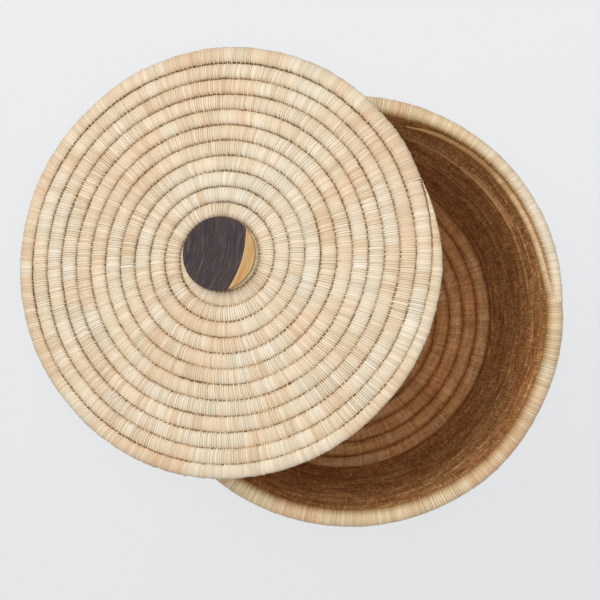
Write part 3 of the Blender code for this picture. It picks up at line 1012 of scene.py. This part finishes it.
def woodMaterial():
    made, shader, wire = newMaterial("knobWood", Roughness=0.5, Specular_IOR_Level=0.25)
    place = wire.node("ShaderNodeAttribute", {"attribute_name": "grain"}, output="Vector")
    turned = wire.node("ShaderNodeVectorRotate", {"rotation_type": "Z_AXIS"},
                       {"Vector": place, "Angle": math.radians(-knob["grainTurn"])})
    axes = wire.node("ShaderNodeSeparateXYZ", inputs={0: turned})
    x, y = axes, axes.other("Y")
    sway = place.cloud(60.0, 1.0)
    off = y - knob["ringCentre"][1]
    ring = (knob["ringRadius"] ** 2 - off * off) ** 0.5 + knob["ringCentre"][0]
    across = x - ring + (sway - 0.5) * knob["ringSway"]
    crossing, following = knob["fineGrain"]
    fine = (across * crossing).streaks(y * following, 4.0, 0.65)
    crossing, following = knob["broadGrain"]
    broad = (across * crossing).streaks(y * following, 2.0)
    heart = broad.smooth(0.3, 0.7).ramp([fromHex("31262B"), fromHex("37292C"), fromHex("40322F")])
    heart = (fine.smooth(0.56, 0.66) * 0.5).mixed(heart, fromHex("7A6963"))
    heart = ((1 - fine).smooth(0.55, 0.75) * 0.5).mixed(heart, fromHex("20171B"))
    heart = (across.smooth(-0.0016, -0.0002) * 0.7).mixed(heart, fromHex("572B32"))
    sap = (broad * 0.6 + fine * 0.4).smooth(0.3, 0.7)
    sap = sap.ramp([fromHex("C9AA70"), fromHex("C5985E"), fromHex("C5834B")])
    sap = ((1 - across.smooth(0.0003, 0.0010)) * 0.8).mixed(sap, fromHex("D9BC92"))
    color = across.smooth(-0.00015, 0.00015).mixed(heart, sap)
    height = wire.node("ShaderNodeSeparateXYZ", inputs={0: place}).other("Z")
    top = height.smooth(knob["seat"] + knob["thickness"] * 0.8, knob["seat"] + knob["thickness"])
    # painted light: the sapwood's side below the face is painted almost white, as if lit
    color = (across.smooth(0.0, 0.0003) * (1 - top)).mixed(color, fromHex("FFF0D6"))
    flat = wire.node("ShaderNodeVectorMath", {"operation": "MULTIPLY"}, {0: place, 1: (1, 1, 0)})
    reach = wire.node("ShaderNodeVectorMath", {"operation": "LENGTH"}, {0: flat}, "Value")
    # a thin dark line round the face's rounded edge: painted shade of the arris, partly a darker stained edge
    arris = knob["radius"] - knob["edgeRound"] * 0.55
    line = (1 - wire.math("ABSOLUTE", reach - arris).smooth(0.0001, 0.0005)) * 0.75
    color = (line * top).mixed(color, fromHex("5C3A22"))
    connect(color, shader.inputs["Base Color"])
    connect(fine * 0.15 + 0.42, shader.inputs["Roughness"])
    bump = wire.node("ShaderNodeBump", inputs={"Strength": 0.25, "Distance": 0.0002, "Height": fine})
    connect(bump, shader.inputs["Normal"])
    return made


def roundEdges(obj, test, size, segments):
    bpy.ops.mesh.select_mode(type="EDGE")
    mesh = bmesh.from_edit_mesh(obj.data)
    for edge in mesh.edges:
        edge.select_set(all(test(vert.co) for vert in edge.verts))
    bmesh.update_edit_mesh(obj.data)
    bpy.ops.mesh.bevel(offset=size, segments=segments, profile=0.5)
    bpy.ops.mesh.select_mode(type="FACE")


def addKnob():
    low = knob["seat"] + knob["footHeight"]
    high = low + knob["thickness"]
    made = addCylinder("knob_wood", knob["sides"], knob["radius"], low, high)
    selectBy(made, lambda co: co.z < low + hair)
    bpy.ops.transform.resize(value=(knob["undercut"], knob["undercut"], 1))
    bpy.ops.mesh.inset(thickness=knob["radius"] * knob["undercut"] - knob["footRadius"])
    bpy.ops.mesh.extrude_region_move(TRANSFORM_OT_translate={"value": (0, 0, -knob["footHeight"])})
    roundEdges(made, lambda co: co.z < knob["seat"] + hair, knob["footRound"], 2)
    edge = knob["radius"] * knob["undercut"] - hair
    roundEdges(made, lambda co: co.z > high - hair and co.xy.length > edge, knob["edgeRound"], 5)
    roundEdges(made, lambda co: abs(co.z - low) < hair and co.xy.length > edge, knob["underRound"], 6)
    for share in (0.01, 0.12):  # rings that keep the flat face flat under smooth shading
        selectBy(made, lambda co: co.z > high - hair and co.xy.length < 10 * hair)
        bpy.ops.mesh.inset(thickness=knob["radius"] * share)
    bpy.ops.object.mode_set(mode="OBJECT")
    setOnLid(made, woodMaterial(), "knob")
    print("knob turned")


addKnob()

# The fastening under the lid: a plain washer and a round-headed screw, in bright zinc
fastening = {
    "washerRadius": 0.0130,
    "washerHole": 0.0024,
    "washerThickness": 0.0015,
    "washerTop": -0.0003,
    "washerRound": 0.0002,
    "headGap": 0.0003,
    "headRadius": 0.0042,
    "headHeight": 0.0026,
    "shankRadius": 0.0021,
    "tip": 0.0206,
    "tipLength": 0.0030,
    "slotLength": 0.0050,
    "slotWidth": 0.0008,
    "slotDepth": 0.0013,
}


def zincMaterial():
    made, shader, wire = newMaterial("brightZinc", Metallic=1.0)
    place = wire.node("ShaderNodeAttribute", {"attribute_name": "grain"}, output="Vector")
    grain = place.cloud(900.0, 3.0)
    bloom = place.cloud(160.0, 2.0)
    color = bloom.smooth(0.3, 0.7).ramp([fromHex("9EA1A4"), fromHex("BFC1C2"), fromHex("B4B2A6")])
    connect(color, shader.inputs["Base Color"])
    connect(grain * 0.15 + bloom * 0.1 + 0.2, shader.inputs["Roughness"])
    bump = wire.node("ShaderNodeBump", inputs={"Strength": 0.15, "Distance": 0.0001, "Height": grain})
    connect(bump, shader.inputs["Normal"])
    return made


def addWasher(material):
    high = fastening["washerTop"]
    low = high - fastening["washerThickness"]
    made = addCylinder("knob_washer_zinc", 48, fastening["washerRadius"], low, high)
    edge = fastening["washerRadius"] - hair
    roundEdges(made, lambda co: co.xy.length > edge, fastening["washerRound"], 2)
    selectBy(made, lambda co: co.xy.length < hair)
    flat = fastening["washerRadius"] - fastening["washerRound"]
    bpy.ops.mesh.inset(thickness=flat - fastening["washerHole"])
    bpy.ops.mesh.bridge_edge_loops()
    bpy.ops.object.mode_set(mode="OBJECT")
    setOnLid(made, material, "knob_washer")


def addScrew(material):
    seat = fastening["washerTop"] - fastening["washerThickness"] - fastening["headGap"]
    low = seat - fastening["headHeight"]
    made = addCylinder("knob_screw_zinc", 32, fastening["headRadius"], low, seat)
    selectBy(made, lambda co: co.z > seat - hair)
    bpy.ops.mesh.inset(thickness=fastening["headRadius"] - fastening["shankRadius"])
    shank = fastening["tip"] - fastening["tipLength"] - seat
    for length in (shank, fastening["tipLength"]):
        bpy.ops.mesh.extrude_region_move(TRANSFORM_OT_translate={"value": (0, 0, length)})
    bpy.ops.transform.resize(value=(0.1, 0.1, 1))
    roundEdges(made, lambda co: co.z < low + hair, fastening["headHeight"] * 0.8, 5)
    bpy.ops.object.mode_set(mode="OBJECT")
    for turn in (0, 90):  # the cross slot
        bpy.ops.mesh.primitive_cube_add(size=1, location=(0, 0, low), rotation=(0, 0, math.radians(turn)),
                                        scale=(fastening["slotLength"], fastening["slotWidth"],
                                               2 * fastening["slotDepth"]))
        cutter = bpy.context.object
        cut = made.modifiers.new("Slot", "BOOLEAN")
        cut.object = cutter
        pick(made)
        bpy.ops.object.modifier_apply(modifier="Slot")
        bpy.data.objects.remove(cutter)
    setOnLid(made, material, "knob_screw")


zinc = zincMaterial()
addWasher(zinc)
addScrew(zinc)
print("knob fastened")


# Floor, light and backdrop
studio = {
    "floorSize": 12.0,
    "floorTop": "ECEEF0",
    "floorFoot": "E6E8EA",
    "floorGlow": 0.84,
    "floorBlend": 0.45,  # how far from the middle the floor's two colours are reached
    "lamps": {  # place, size and power
        "key": ((-1.9, 0.8, 2.6), 2.4, 41),
        "overhead": ((0.0, 0.0, 3.2), 1.2, 31),
    },
    "sky": 0.40,
}


def addFloor():
    deselectAll()
    bpy.ops.mesh.primitive_plane_add(size=studio["floorSize"], location=(0, 0, 0))
    ground = bpy.context.object
    ground.name = "studio_floor"
    made, shader, wire = newMaterial("studioFloor", Roughness=0.9, Specular_IOR_Level=0.0)
    place = wire.node("ShaderNodeTexCoord", output="Object")
    turn = math.radians(view["turn"])
    down = wire.node("ShaderNodeVectorMath", {"operation": "DOT_PRODUCT"},
                     {0: place, 1: (math.sin(turn), -math.cos(turn), 0)}, "Value")
    # painted shade: the floor is a little darker towards the foot of the picture
    color = down.smooth(-studio["floorBlend"], studio["floorBlend"])
    color = color.mixed(fromHex(studio["floorTop"]), fromHex(studio["floorFoot"]))
    connect(color, shader.inputs["Base Color"])
    glow = wire.node("ShaderNodeEmission", inputs={"Color": color, "Strength": 1.0})
    ray = wire.node("ShaderNodeLightPath", output="Is Camera Ray")
    seen = (ray + ray.other("Is Glossy Ray") + ray.other("Is Transmission Ray")).clamped()
    lit = Wire(wire.tree, shader.outputs[0])
    mix = wire.node("ShaderNodeMixShader", inputs={0: seen * studio["floorGlow"], 1: lit, 2: glow})
    out = wire.tree.nodes["Material Output"]
    connect(mix, out.inputs["Surface"])
    ground.data.materials.append(made)


def addLights():
    for name, (place, size, power) in studio["lamps"].items():
        light = bpy.data.lights.new(name, "AREA")
        light.energy = power
        light.size = size
        lamp = bpy.data.objects.new(name, light)
        lamp.location = place
        lamp.rotation_euler = (Vector(place) - Vector((0, 0, 0.2))).to_track_quat("Z", "Y").to_euler()
        bpy.context.scene.collection.objects.link(lamp)
    world = bpy.data.worlds.new("studio")
    world.use_nodes = True
    bpy.context.scene.world = world
    sky = world.node_tree.nodes["Background"]
    sky.inputs["Color"].default_value = (0.97, 0.98, 1.0, 1.0)
    sky.inputs["Strength"].default_value = studio["sky"]


addFloor()
addLights()
bpy.context.scene.view_settings.view_transform = "Standard"
print("studio set")
